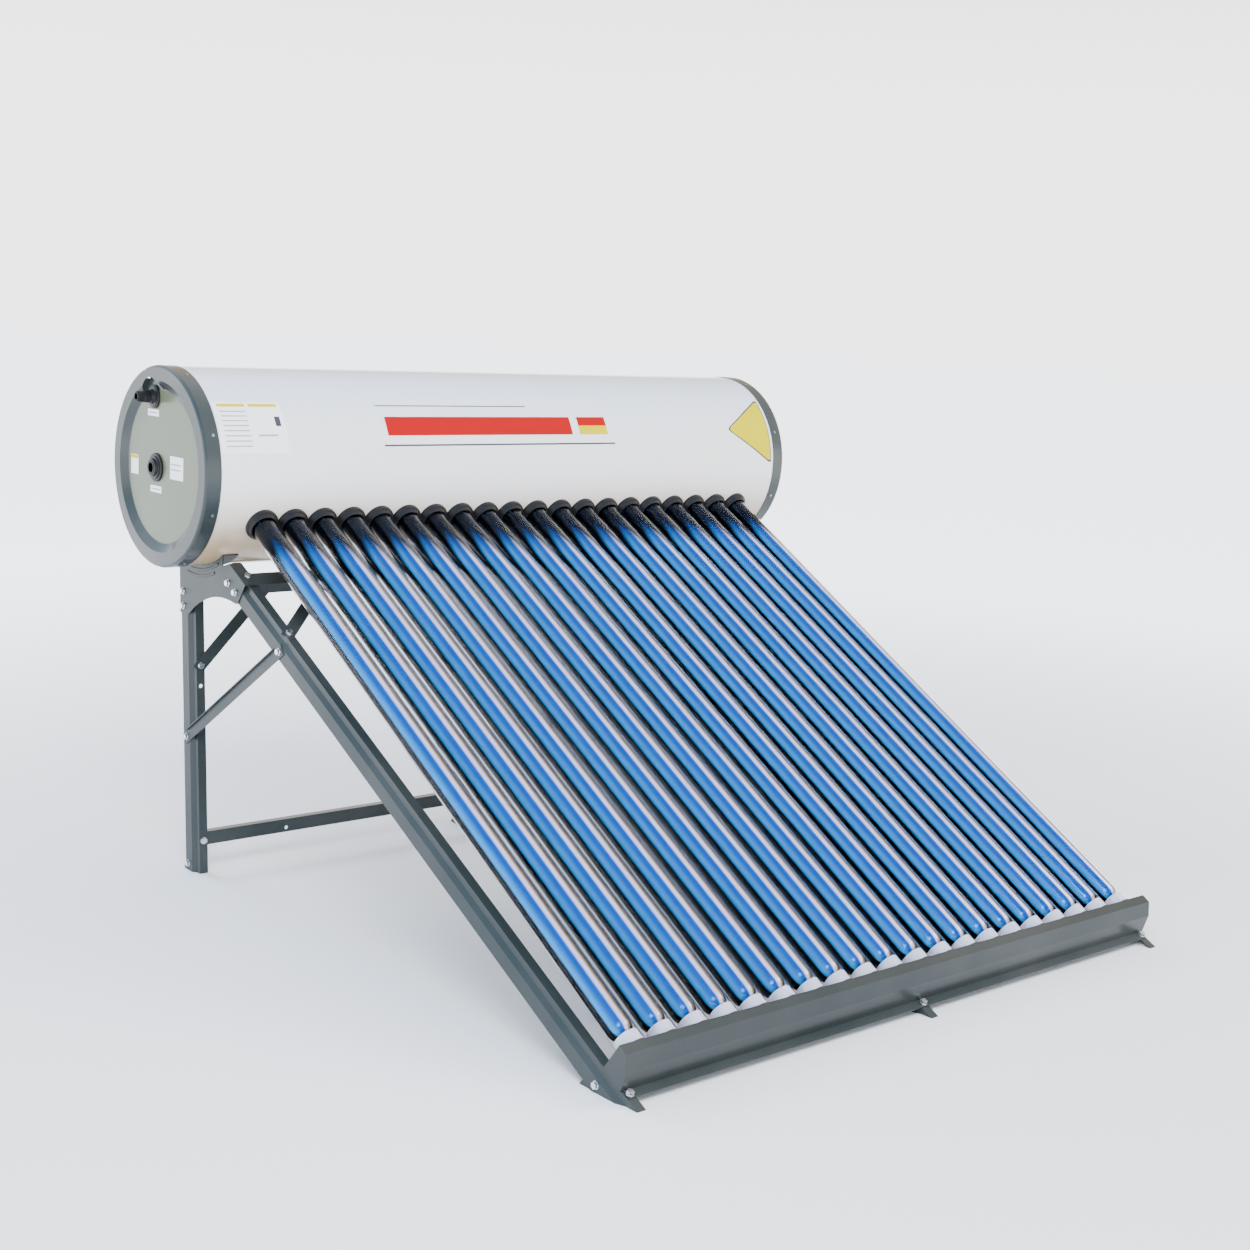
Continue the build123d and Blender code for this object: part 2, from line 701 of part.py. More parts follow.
front_foot_points = [
    (-front_foot_reach + 66, 0),
    (-front_foot_reach + 158, 0),
    (-front_foot_reach + 154, 8),
    (-front_foot_reach + 118, 30),
    (-front_foot_reach + 80, 8),
]
front_foot_flange = (-front_foot_reach + 70, -front_foot_reach + 150)
rear_back = -rear_foot_reach + leg_web
rear_foot_points = [
    (rear_back - 28, 0),
    (rear_back + 14, 0),
    (rear_back + 12, 8),
    (rear_back - 1, 32),
    (rear_back - 28, 32),
]
rear_foot_flange = (rear_back - 28, rear_back + 12)
put("front_feet", *[make_foot(*place, front_foot_points, front_foot_flange) for place in stations.values()])
put("rear_feet", *[make_foot(*place, rear_foot_points, rear_foot_flange) for place in stations.values()])


# ---- bolts: a hexagon head and washer outside, a nut inside, through holes in what they clamp
bolt_groups = {"saddle_bolts": [], "frame_bolts": [], "foot_bolts": []}


def add_bolt(group, point, outward, grip, clamped):
    """A bolt whose head seats at point and faces outward, with grip of sheet behind it."""
    plane = Plane(origin=point, z_dir=outward)
    hexagon = RegularPolygon(bolt_flats / 2, 6, major_radius=False)
    head = Cylinder(washer_radius, washer_wall, align=UPWARD)
    head = head + Pos(0, 0, washer_wall) * extrude(hexagon, amount=bolt_head, dir=(0, 0, 1))
    nut = Pos(0, 0, -grip - nut_height) * extrude(hexagon, amount=nut_height, dir=(0, 0, 1))
    shank_length = grip + nut_height + 3 + washer_wall
    shank = Pos(0, 0, washer_wall) * Cylinder(bolt_radius, shank_length, align=DOWNWARD)
    bolt_groups[group].append(plane.location * (head + nut + shank))
    hole = plane.location * Pos(0, 0, 0.5) * Cylinder(bolt_hole_radius, grip + 1, align=DOWNWARD)
    drill(clamped, hole)


for side_name, (corner, side) in stations.items():
    outward = Vector(-side, 0, 0)
    web_face = corner - side * leg_step
    saddle = f"tank_saddle_{side_name}"
    front_leg = f"front_leg_{side_name}"
    rear_leg = f"rear_leg_{side_name}"
    bolt_x = corner + side * flange_centre
    for along in (saddle_arm_start + 30, saddle_arm_start + 68):
        add_bolt("saddle_bolts", front_point(along, -40, web_face - side * plate), outward,
                 plate + leg_wall, [saddle, front_leg])
    for up in (saddle_rear_drop + 18, saddle_rear_drop + 54):
        add_bolt("saddle_bolts", rear_point(up, 42, web_face - side * plate), outward,
                 plate + leg_wall, [saddle, rear_leg])
    add_bolt("frame_bolts", front_point(top_rail_start + 35, 2 * plate, bolt_x), FRONT_SQUARE,
             2 * plate + leg_wall, ["top_rail", saddle, front_leg])
    add_bolt("frame_bolts", front_point(bottom_rail_start + 9.8, plate, bolt_x), FRONT_SQUARE,
             plate + leg_wall, ["bottom_rail", front_leg])
    for low, rail in ((rear_rail_low, "rear_rail_lower"), (rear_rail_high, "rear_rail_upper")):
        rail_bolt = rear_point(low + 12, 0, bolt_x)
        add_bolt("frame_bolts", rail_bolt, REAR_SQUARE, plate + leg_wall, [rail, rear_leg])
    foot_at = front_point(0, 0).Y + 108
    add_bolt("foot_bolts", Vector(web_face, foot_at, 16), outward, leg_wall + foot_wall,
             ["front_feet", front_leg])
    add_bolt("foot_bolts", Vector(web_face, rear_back - 12, 18), outward, leg_wall + foot_wall,
             ["rear_feet", rear_leg])

for side_name in ("left", "right"):
    corner, side = stations[side_name]
    outward = Vector(-side, 0, 0)
    brace_face = corner - side * (leg_step + plate)
    bolt_x = corner + side * flange_centre
    brace = f"side_brace_{side_name}"
    brace_front = front_point(side_brace_front[0], -side_brace_front[1], brace_face)
    add_bolt("frame_bolts", brace_front, outward, plate + leg_wall, [brace, f"front_leg_{side_name}"])
    add_bolt("frame_bolts", rear_point(*side_brace_rear, brace_face), outward,
             plate + leg_wall, [brace, f"rear_leg_{side_name}"])
    knee = f"front_knee_brace_{side_name}"
    add_bolt("frame_bolts", front_point(front_knee_leg, plate, bolt_x), FRONT_SQUARE,
             plate + leg_wall, [knee, f"front_leg_{side_name}"])
    knee_end = front_point(front_knee_leg + front_knee_run, 2 * plate, bolt_x + side * front_knee_run)
    add_bolt("frame_bolts", knee_end, FRONT_SQUARE, 2 * plate, [knee, "top_rail"])
    rear_knee = f"rear_knee_brace_{side_name}"
    add_bolt("frame_bolts", rear_point(rear_knee_leg, -plate, bolt_x), REAR_SQUARE,
             plate + leg_wall, [rear_knee, f"rear_leg_{side_name}"])
    rear_knee_end = rear_point(rear_knee_leg + rear_knee_run, -plate, bolt_x + side * rear_knee_run)
    add_bolt("frame_bolts", rear_knee_end, REAR_SQUARE, leg_wall + 2 * plate, [rear_knee, "rear_rail_upper"])

for group, bolts in bolt_groups.items():
    put(group, *bolts)

# ---- screws round the skirts of the caps
cap_screws = []
for end, cap in ((-1, "end_cap_left"), (1, "end_cap_right")):
    for turn in range(screws_per_cap):
        spin = Rot(360 * (turn + 0.5) / screws_per_cap, 0, 0)
        place = Pos(end * (half_tank - cap_skirt + screw_inset), 0, tank_axis_height) * spin
        shaft = Pos(0, 0, shell_radius - 5) * Cylinder(screw_radius, 8, align=UPWARD)
        top = Pos(0, 0, tank_radius) * Cylinder(screw_head_radius, screw_head, align=UPWARD)
        cap_screws.append(place * (shaft + top))
        bore = place * Pos(0, 0, shell_radius - 6) * Cylinder(screw_radius, 12, align=UPWARD)
        drill(["tank_shell", "tank_insulation", cap], bore)
put("cap_screws", *cap_screws)


for name, solids in nodes.items():
    moved = [s.moved(Location(row_origin)) for s in solids]
    export_step(moved[0] if len(moved) == 1 else Compound(children=moved), f"parts/{name}.step")
print(len(nodes), "nodes")
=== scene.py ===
"""Solar water heater: tubes, rubber, labels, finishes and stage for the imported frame."""
import json
import math
import bmesh
import bpy
from bpy.props import FloatProperty, FloatVectorProperty, IntProperty, PointerProperty
from mathutils import Matrix, Vector


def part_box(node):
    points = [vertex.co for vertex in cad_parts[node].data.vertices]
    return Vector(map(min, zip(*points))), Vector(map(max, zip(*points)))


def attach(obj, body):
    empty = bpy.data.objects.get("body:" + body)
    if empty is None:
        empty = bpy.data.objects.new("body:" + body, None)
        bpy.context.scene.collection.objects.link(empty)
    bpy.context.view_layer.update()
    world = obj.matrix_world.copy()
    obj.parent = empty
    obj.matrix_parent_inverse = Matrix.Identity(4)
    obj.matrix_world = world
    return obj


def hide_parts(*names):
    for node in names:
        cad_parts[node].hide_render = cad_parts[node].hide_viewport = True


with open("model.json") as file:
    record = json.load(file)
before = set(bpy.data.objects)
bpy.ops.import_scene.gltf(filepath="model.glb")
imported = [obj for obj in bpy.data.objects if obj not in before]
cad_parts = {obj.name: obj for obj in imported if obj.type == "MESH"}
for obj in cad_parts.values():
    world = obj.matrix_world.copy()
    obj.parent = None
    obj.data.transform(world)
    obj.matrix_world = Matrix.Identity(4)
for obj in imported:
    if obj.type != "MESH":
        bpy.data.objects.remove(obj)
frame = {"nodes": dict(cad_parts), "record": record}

bl_info = {
    "name": "Solar Water Heater",
    "version": (1, 0, 0),
    "blender": (4, 5, 0),
    "location": "View3D > Sidebar > Heater",
    "description": "Builds the visible pieces of a solar water heater on its frame",
    "category": "Add Mesh",
}

ROOT = "heater"
TUBES = sorted(n for n in frame["nodes"] if n.startswith("evacuated_tube_"))
TANK_LOW, TANK_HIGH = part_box("tank_shell")
AXIS_Y = (TANK_LOW[1] + TANK_HIGH[1]) / 2
AXIS_Z = (TANK_LOW[2] + TANK_HIGH[2]) / 2
SHELL_RADIUS = (TANK_HIGH[2] - TANK_LOW[2]) / 2
TANK_MIDDLE = (TANK_LOW[0] + TANK_HIGH[0]) / 2
SLOPE = math.radians(30)
TUBE_START = (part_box(TUBES[0])[0][0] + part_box(TUBES[0])[1][0]) / 2
TUBE_PITCH = (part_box(TUBES[-1])[0][0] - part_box(TUBES[0])[0][0]) / (len(TUBES) - 1)


class HeaterTubes(bpy.types.PropertyGroup):
    sides: IntProperty(name="Sides", default=48, min=16, max=96)
    glass_radius: FloatProperty(name="Glass radius", default=0.029, unit="LENGTH")
    glass_wall: FloatProperty(name="Glass wall", default=0.0018, unit="LENGTH")
    core_radius: FloatProperty(name="Core radius", default=0.0262, unit="LENGTH")
    top: FloatProperty(name="Top from tank axis", default=0.093, unit="LENGTH")
    tip: FloatProperty(name="Tip from tank axis", default=1.893, unit="LENGTH")
    mirror_start: FloatProperty(name="Silvered length", default=0.066, unit="LENGTH")
    coating: FloatVectorProperty(name="Coating", subtype="COLOR", default=(0.002, 0.070, 0.34))


class HeaterTank(bpy.types.PropertyGroup):
    white: FloatVectorProperty(name="Skin", subtype="COLOR", default=(0.78, 0.77, 0.75))
    slate: FloatVectorProperty(name="Caps and stand", subtype="COLOR", default=(0.020, 0.029, 0.030))
    label_gap: FloatProperty(name="Label gap", default=0.0004, unit="LENGTH")


class HeaterStage(bpy.types.PropertyGroup):
    floor: FloatVectorProperty(name="Floor", subtype="COLOR", default=(0.90, 0.90, 0.90))
    key: FloatProperty(name="Key light", default=420.0)
    lens: FloatProperty(name="Lens", default=52.87)


# ---- shader maths
class Socket:
    """An output or a number that can be used in sums, which become shader nodes."""

    def __init__(self, shade, value):
        self.shade = shade
        self.value = value

    def maths(self, operation, *others):
        node = self.shade.node("ShaderNodeMath", operation=operation)
        for slot, item in zip(node.inputs, (self, *others)):
            self.shade.feed(slot, item)
        return Socket(self.shade, node.outputs[0])

    def __add__(self, other):
        return self.maths("ADD", other)

    def __sub__(self, other):
        return self.maths("SUBTRACT", other)

    def __rsub__(self, other):
        return Socket(self.shade, other).maths("SUBTRACT", self)

    def __mul__(self, other):
        return self.maths("MULTIPLY", other)

    def __truediv__(self, other):
        return self.maths("DIVIDE", other)

    def step(self, low, high):
        """Rises smoothly from 0 at low to 1 at high."""
        node = self.shade.node("ShaderNodeMapRange", interpolation_type="SMOOTHSTEP")
        for slot, item in zip(node.inputs, (self, low, high, 0.0, 1.0)):
            self.shade.feed(slot, item)
        return Socket(self.shade, node.outputs[0])


class Shade:
    """One material or world, and the few nodes it is made of."""

    def __init__(self, owner):
        owner.use_nodes = True
        self.owner = owner
        self.tree = owner.node_tree
        self.tree.nodes.clear()

    def node(self, kind, **settings):
        made = self.tree.nodes.new(kind)
        for name, value in settings.items():
            setattr(made, name, value)
        return made

    def feed(self, slot, item):
        item = item.value if isinstance(item, Socket) else item
        if isinstance(item, bpy.types.NodeSocket):
            self.tree.links.new(item, slot)
        elif item is not None:
            opaque = isinstance(item, tuple) and len(item) == 3 and slot.type == "RGBA"
            slot.default_value = (*item, 1.0) if opaque else item

    def place(self):
        """Object coordinates as three sockets."""
        split = self.node("ShaderNodeSeparateXYZ")
        self.feed(split.inputs[0], self.node("ShaderNodeTexCoord").outputs["Object"])
        return [Socket(self, out) for out in split.outputs]

    def noise(self, scale, detail=3.0):
        node = self.node("ShaderNodeTexNoise")
        self.feed(node.inputs["Vector"], self.node("ShaderNodeTexCoord").outputs["Object"])
        self.feed(node.inputs["Scale"], scale)
        self.feed(node.inputs["Detail"], detail)
        return Socket(self, node.outputs[0])

    def mix(self, factor, first, second):
        node = self.node("ShaderNodeMix", data_type="RGBA")
        for slot, item in zip((node.inputs[0], node.inputs[6], node.inputs[7]), (factor, first, second)):
            self.feed(slot, item)
        return Socket(self, node.outputs[2])

    def bump(self, height, distance, strength=1.0):
        node = self.node("ShaderNodeBump")
        self.feed(node.inputs["Height"], height)
        self.feed(node.inputs["Distance"], distance)
        self.feed(node.inputs["Strength"], strength)
        return Socket(self, node.outputs[0])

    def surface(self, **inputs):
        """Principled surface; names use _ for a space."""
        shader = self.node("ShaderNodeBsdfPrincipled")
        for name, value in inputs.items():
            self.feed(shader.inputs[name.replace("_", " ")], value)
        self.feed(self.node("ShaderNodeOutputMaterial").inputs[0], shader.outputs[0])
        return self.owner


def shade(name):
    return Shade(bpy.data.materials.new(name))


def painted(name, colour, roughness, coat, peel=0.00012, dust=0.06):
    """Powder coat: a faint orange peel, slightly uneven gloss and a little dust."""
    s = shade(name)
    cloud = s.noise(3.0)
    tint = s.mix(cloud.step(0.35, 0.75) * dust, colour, (0.42, 0.40, 0.36))
    return s.surface(Base_Color=tint, Roughness=s.noise(9.0) * 0.12 + (roughness - 0.06),
                     Specular_IOR_Level=0.3, Coat_Weight=coat, Coat_Roughness=0.08,
                     Normal=s.bump(s.noise(260.0, 2.0), peel))


def metal(name, colour, roughness):
    s = shade(name)
    return s.surface(Base_Color=colour, Metallic=1.0, Roughness=s.noise(60.0) * 0.2 + (roughness - 0.1))


def plain(name, colour, roughness, grain=90.0, depth=0.0001, shine=0.5):
    s = shade(name)
    return s.surface(Base_Color=colour, Roughness=roughness, Specular_IOR_Level=shine,
                     Normal=s.bump(s.noise(grain), depth))


def skin_material(colour):
    """White powder coat with painted reflections: a bluish sky reflection painted on the top and a warm
    ground reflection painted where it turns under.
    """
    s = shade("white_skin")
    height = s.place()[2] - AXIS_Z
    # painted reflection: a warm ground reflection painted towards the bottom of the tank
    warm = 1.0 - height.step(-0.20, -0.03)
    tint = s.mix(warm * 0.9, colour, (0.46, 0.31, 0.14))
    # painted reflection: a bluish sky reflection painted on the top of the tank
    tint = s.mix(height.step(0.02, 0.20) * 0.6, tint, (0.62, 0.72, 0.88))
    return s.surface(Base_Color=tint, Roughness=s.noise(9.0) * 0.1 + 0.16, Coat_Weight=0.6,
                     Coat_Roughness=0.05, Normal=s.bump(s.noise(260.0, 2.0), 0.0001))


def cap_material(colour):
    """Slate paint on the skirt and ring, paler where the dish catches the light."""
    s = shade("cap_paint")
    y, z = s.place()[1:]
    y = y - AXIS_Y
    z = z - AXIS_Z
    radius = (y * y + z * z).maths("SQRT")
    dish = 1.0 - radius.step(0.176, 0.183)
    base = s.mix(dish, colour, (0.098, 0.118, 0.070))
    tint = s.mix(s.noise(4.0).step(0.4, 0.8) * 0.12, base, (0.30, 0.30, 0.26))
    return s.surface(Base_Color=tint, Roughness=s.noise(8.0) * 0.1 + 0.26, Specular_IOR_Level=0.3,
                     Coat_Weight=0.3, Coat_Roughness=0.06, Normal=s.bump(s.noise(220.0, 2.0), 0.0001))


def coating_material(colour):
    """Absorber film, its own colour deep blue, with painted reflections in bands that follow the turn round
    each tube, painted shade in black under it and a painted shadow at its head.
    """
    s = shade("absorber_with_painted_reflections")
    x, y, z = s.place()
    column = (x - TUBE_START) / TUBE_PITCH + 0.5
    across = (column.maths("FRACT") - 0.5) * TUBE_PITCH
    square = (y - AXIS_Y) * -math.sin(SLOPE) + (z - AXIS_Z) * math.cos(SLOPE)
    turn = across.maths("ARCTAN2", square) * (180 / math.pi)
    down = (AXIS_Y - y) * math.cos(SLOPE) + (AXIS_Z - z) * math.sin(SLOPE)
    # painted reflection: a pale sky-blue band, mixed from the coating's colour, on the near side of each
    # tube
    pale = tuple(0.3 * c + 0.5 * d for c, d in zip(colour, (0.05, 0.46, 1.0)))
    base = s.mix(turn.step(-64, -34), pale, colour)
    # painted highlight: a lilac-white band
    base = s.mix(turn.step(-22, -12), base, (0.58, 0.56, 0.78))
    # painted reflection: a golden band for the ground reflected at the edge
    base = s.mix(turn.step(0, 8), base, (0.22, 0.14, 0.065))
    # painted shade: near black past the golden edge
    base = s.mix(turn.step(12, 22), base, (0.012, 0.008, 0.006))
    # painted shade: black on the underside, where the tube faces the shadowed floor and its dark neighbour
    under = 1.0 - turn.step(-80, -70)
    base = s.mix(under, base, (0.003, 0.003, 0.004))
    # painted shadow: black at the head of each tube, reaching further down in a point, for the tank's
    # shadow reflected in the tube
    point = (turn + 40.0).maths("ABSOLUTE") * 0.0016
    head = 1.0 - (down - point).step(0.30, 0.40)
    base = s.mix(head, base, (0.003, 0.005, 0.010))
    return s.surface(Base_Color=base, Metallic=0.3, Specular_IOR_Level=0.12,
                     Roughness=s.noise(14.0) * 0.05 + 0.16)


def glass_material():
    s = shade("clear_glass")
    return s.surface(Base_Color=(0.98, 0.99, 1.0), Roughness=0.01, IOR=1.08, Transmission_Weight=1.0)


MATERIALS = {}


def make_materials(tank, tubes):
    slate = tuple(tank.slate)
    MATERIALS.update({
        "white_skin": skin_material(tuple(tank.white)),
        "cap_paint": cap_material(slate),
        "stand_paint": painted("stand_paint", slate, 0.40, 0.10, dust=0.05),
        "channel_paint": painted("channel_paint", tuple(c * 0.75 for c in slate), 0.36, 0.15, dust=0.04),
        "black_rubber": plain("black_rubber", (0.006, 0.006, 0.0065), 0.42, shine=0.35),
        "silicone": plain("silicone", (0.42, 0.13, 0.07), 0.6),
        "foam": plain("foam", (0.80, 0.72, 0.48), 0.9, 40.0, 0.001),
        "cup_plastic": plain("cup_plastic", (0.03, 0.03, 0.032), 0.4),
        "inner_steel": metal("inner_steel", (0.60, 0.61, 0.62), 0.35),
        "stub_steel": metal("stub_steel", (0.03, 0.03, 0.032), 0.4),
        "zinc": metal("zinc", (0.78, 0.79, 0.80), 0.26),
        "screw_steel": metal("screw_steel", (0.35, 0.37, 0.38), 0.34),
        "coated_glass": glass_material(),
        "absorber": coating_material(tuple(tubes.coating)),
        "silver": plain("silver_mirror", (0.72, 0.70, 0.78), 0.3),
        "label_white": plain("label_white", (0.86, 0.86, 0.88), 0.45),
        "label_yellow": plain("label_yellow", (0.58, 0.48, 0.0), 0.7, shine=0.0),
        "label_dark": plain("label_dark", (0.03, 0.035, 0.05), 0.5),
        "label_red": plain("label_red", (0.36, 0.002, 0.004), 0.6, shine=0.1),
        "label_grey": plain("label_grey", (0.30, 0.31, 0.36), 0.5),
    })


# ---- mesh helpers
def finish_piece(bm, name, material, body=ROOT, replaced=(), crease=40):
    """Cleans a mesh, shades it smooth with sharp creases and rides it on its body."""
    bmesh.ops.remove_doubles(bm, verts=bm.verts, dist=1e-6)
    bmesh.ops.recalc_face_normals(bm, faces=bm.faces)
    for face in bm.faces:
        face.smooth = True
    for edge in bm.edges:
        edge.smooth = len(edge.link_faces) == 2 and edge.calc_face_angle(0) < math.radians(crease)
    mesh = bpy.data.meshes.new(name)
    bm.to_mesh(mesh)
    bm.free()
    obj = bpy.data.objects.new(name, mesh)
    bpy.context.scene.collection.objects.link(obj)
    mesh.materials.append(MATERIALS[material])
    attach(obj, body)
    if replaced:
        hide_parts(*replaced)
    return obj


def connected(verts):
    """The given vertices and all that edges join to them."""
    seen = set(verts)
    stack = list(verts)
    while stack:
        for edge in stack.pop().link_edges:
            for v in edge.verts:
                if v not in seen:
                    seen.add(v)
                    stack.append(v)
    return list(seen)


def closed_loop(bm, verts):
    """Edges from each vertex to the next, and from the last back to the first."""
    return [bm.edges.new(pair) for pair in zip(verts, verts[1:] + verts[:1])]


def lathe(bm, profile, place, sides):
    """Spins a closed (radius, Z) outline once round local Z and puts it at place."""
    verts = [bm.verts.new((r, 0, z)) for r, z in profile]
    edges = closed_loop(bm, verts)
    bmesh.ops.spin(bm, geom=verts + edges, cent=(0, 0, 0), axis=(0, 0, 1), dvec=(0, 0, 0),
                   angle=math.tau, steps=sides, use_merge=True, use_duplicate=False)
    bmesh.ops.transform(bm, matrix=place, verts=connected(verts))


def arc(centre, radius, start, end, steps):
    """Points on a circle in (radius, Z), angles in degrees."""
    turns = [math.radians(start + (end - start) * i / steps) for i in range(steps + 1)]
    return [(centre[0] + radius * math.cos(t), centre[1] + radius * math.sin(t)) for t in turns]


def tube_place(x):
    """Local Z runs down a tube from the tank's axis."""
    down = Vector((0, -math.cos(SLOPE), -math.sin(SLOPE)))
    across = Vector((1, 0, 0))
    square = down.cross(across)
    turn = Matrix((across, square, down)).transposed().to_4x4()
    return Matrix.Translation((x, AXIS_Y, AXIS_Z)) @ turn


def middle_x(node):
    low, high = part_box(node)
    return (low[0] + high[0]) / 2


def curved_patch(bm, x_range, angle_range, radius, thick):
    """A thin plate wrapped on the tank's skin; angles in degrees above horizontal on the tube side."""
    columns = 2
    rows = max(3, int(abs(angle_range[1] - angle_range[0]) / 2))
    grid = []
    for level in (radius, radius + thick):
        layer = []
        for i in range(columns + 1):
            x = x_range[0] + (x_range[1] - x_range[0]) * i / columns
            strip = []
            for j in range(rows + 1):
                t = math.radians(angle_range[0] + (angle_range[1] - angle_range[0]) * j / rows)
                strip.append(bm.verts.new((x, AXIS_Y - level * math.cos(t), AXIS_Z + level * math.sin(t))))
            layer.append(strip)
        grid.append(layer)
    for layer in grid:
        for i in range(columns):
            for j in range(rows):
                bm.faces.new((layer[i][j], layer[i + 1][j], layer[i + 1][j + 1], layer[i][j + 1]))
    low, high = grid
    rim_low = [s[0] for s in low] + low[-1][1:] + [s[-1] for s in low[-2::-1]] + low[0][-2:0:-1]
    rim_high = [s[0] for s in high] + high[-1][1:] + [s[-1] for s in high[-2::-1]] + high[0][-2:0:-1]
    for i in range(len(rim_low)):
        k = (i + 1) % len(rim_low)
        bm.faces.new((rim_low[i], rim_low[k], rim_high[k], rim_high[i]))


def dish_plate(bm, centre, size, x_face, thick=0.0003):
    """A flat label on the cap's face; centre and size are in (Y, Z)."""
    made = bmesh.ops.create_cube(bm, size=1.0)
    place = Matrix.Translation((x_face - thick / 2, *centre)) @ Matrix.Diagonal((thick, *size, 1.0))
    bmesh.ops.transform(bm, matrix=place, verts=made["verts"])


# ---- operators
class HEATER_OT_finishes(bpy.types.Operator):
    """Makes the materials and puts one on every frame node"""
    bl_idname = "heater.finishes"
    bl_label = "Finishes"

    def execute(self, context):
        make_materials(context.scene.heater_tank, context.scene.heater_tubes)
        for part in frame["record"]["subparts"]:
            mesh = frame["nodes"][part["node"]].data
            mesh.materials.clear()
            mesh.materials.append(MATERIALS[part["material_slot"]])
        return {"FINISHED"}


class HEATER_OT_tubes(bpy.types.Operator):
    """Double-walled glass tubes with a coated core and a silvered tip"""
    bl_idname = "heater.tubes"
    bl_label = "Evacuated tubes"

    def execute(self, context):
        p = context.scene.heater_tubes
        outer = p.glass_radius
        inside = outer - p.glass_wall
        centre = p.tip - outer
        seal_end = 0.265
        for node in TUBES:
            number = node[-2:]
            place = tube_place(middle_x(node))
            body = f"tube_{number}"
            glass = bmesh.new()
            round_out = arc((0, centre), outer, 0, 90, 10)
            round_in = arc((0, centre), inside, 90, 0, 10)
            profile = [(outer, p.top + 0.003), (outer, seal_end), *round_out, *round_in,
                       (inside, seal_end), (inside, p.top + 0.003), ((outer + inside) / 2, p.top)]
            lathe(glass, profile, place, p.sides)
            finish_piece(glass, f"tube_glass_{number}", "coated_glass", body, (node,))
            core = bmesh.new()
            core_end = p.tip - p.mirror_start
            tip_centre = core_end - p.core_radius
            profile = [(p.core_radius, p.top + 0.001), (p.core_radius, 0.4), (p.core_radius, 1.1),
                       *arc((0, tip_centre), p.core_radius, 0, 90, 8),
                       (0, tip_centre + p.core_radius - 0.0016), (p.core_radius - 0.0016, tip_centre),
                       (p.core_radius - 0.0016, p.top + 0.001)]
            lathe(core, profile, place, p.sides)
            finish_piece(core, f"tube_core_{number}", "absorber", body)
            silver = bmesh.new()
            skin = inside - 0.0002
            profile = [(skin, core_end - 0.002), *arc((0, centre), skin, 0, 90, 8),
                       *arc((0, centre), skin - 0.0004, 90, 0, 8), (skin - 0.0004, core_end - 0.002)]
            lathe(silver, profile, place, p.sides)
            finish_piece(silver, f"tube_silver_{number}", "silver", body)
        return {"FINISHED"}


class HEATER_OT_seals(bpy.types.Operator):
    """Rubber collars where the tubes enter the tank"""
    bl_idname = "heater.seals"
    bl_label = "Dust seals"

    def execute(self, context):
        bore = 0.0294
        base = SHELL_RADIUS - 0.006
        outline = [
            (bore, base), (0.0398, base), (0.0408, base + 0.003), (0.0408, base + 0.0105),
            (0.0402, base + 0.0125), (0.0388, base + 0.0138), (0.0372, base + 0.0140),
            (0.0362, base + 0.0150), (0.0350, base + 0.0185), (0.0336, base + 0.0212),
            (0.0320, base + 0.0220), (0.0304, base + 0.0214), (bore, base + 0.0195),
        ]
        bm = bmesh.new()
        for node in TUBES:
            lathe(bm, outline, tube_place(middle_x(node)), 40)
        finish_piece(bm, "dust_collars", "black_rubber", replaced=("dust_seals",),
                     crease=32)
        return {"FINISHED"}


class HEATER_OT_connections(bpy.types.Operator):
    """Stepped rubber grommets round the two pipe stubs"""
    bl_idname = "heater.connections"
    bl_label = "Connections"

    def execute(self, context):
        turn = Matrix(((0, 0, -1, 0), (0, 1, 0, 0), (1, 0, 0, 0), (0, 0, 0, 1)))
        jobs = (
            ("outlet_grommet", 0.0102,
             [(0.028, 0.0035), (0.0268, 0.0048), (0.024, 0.0052), (0.0236, 0.0066),
              (0.0178, 0.0074), (0.0165, 0.010), (0.0160, 0.013), (0.0148, 0.0145),
              (0.0142, 0.030), (0.0134, 0.0312), (0.0126, 0.0458)]),
            ("inlet_grommet", 0.0152,
             [(0.034, 0.004), (0.0328, 0.0054), (0.0275, 0.0060), (0.0268, 0.0088),
              (0.0216, 0.0096), (0.0206, 0.0138)]),
        )
        for node, bore, steps in jobs:
            low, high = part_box(node)
            length = high[0] - low[0]
            place = Matrix.Translation((high[0], (low[1] + high[1]) / 2, (low[2] + high[2]) / 2)) @ turn
            top = steps[-1][0]
            outline = [(bore, 0.0), (steps[0][0] - 0.001, 0.0), (steps[0][0], 0.001), *steps,
                       (top - 0.001, length), (bore + 0.0008, length), (bore, length - 0.0008)]
            bm = bmesh.new()
            lathe(bm, outline, place, 56)
            finish_piece(bm, f"{node}_rings", "black_rubber", replaced=(node,),
                         crease=28)
        return {"FINISHED"}


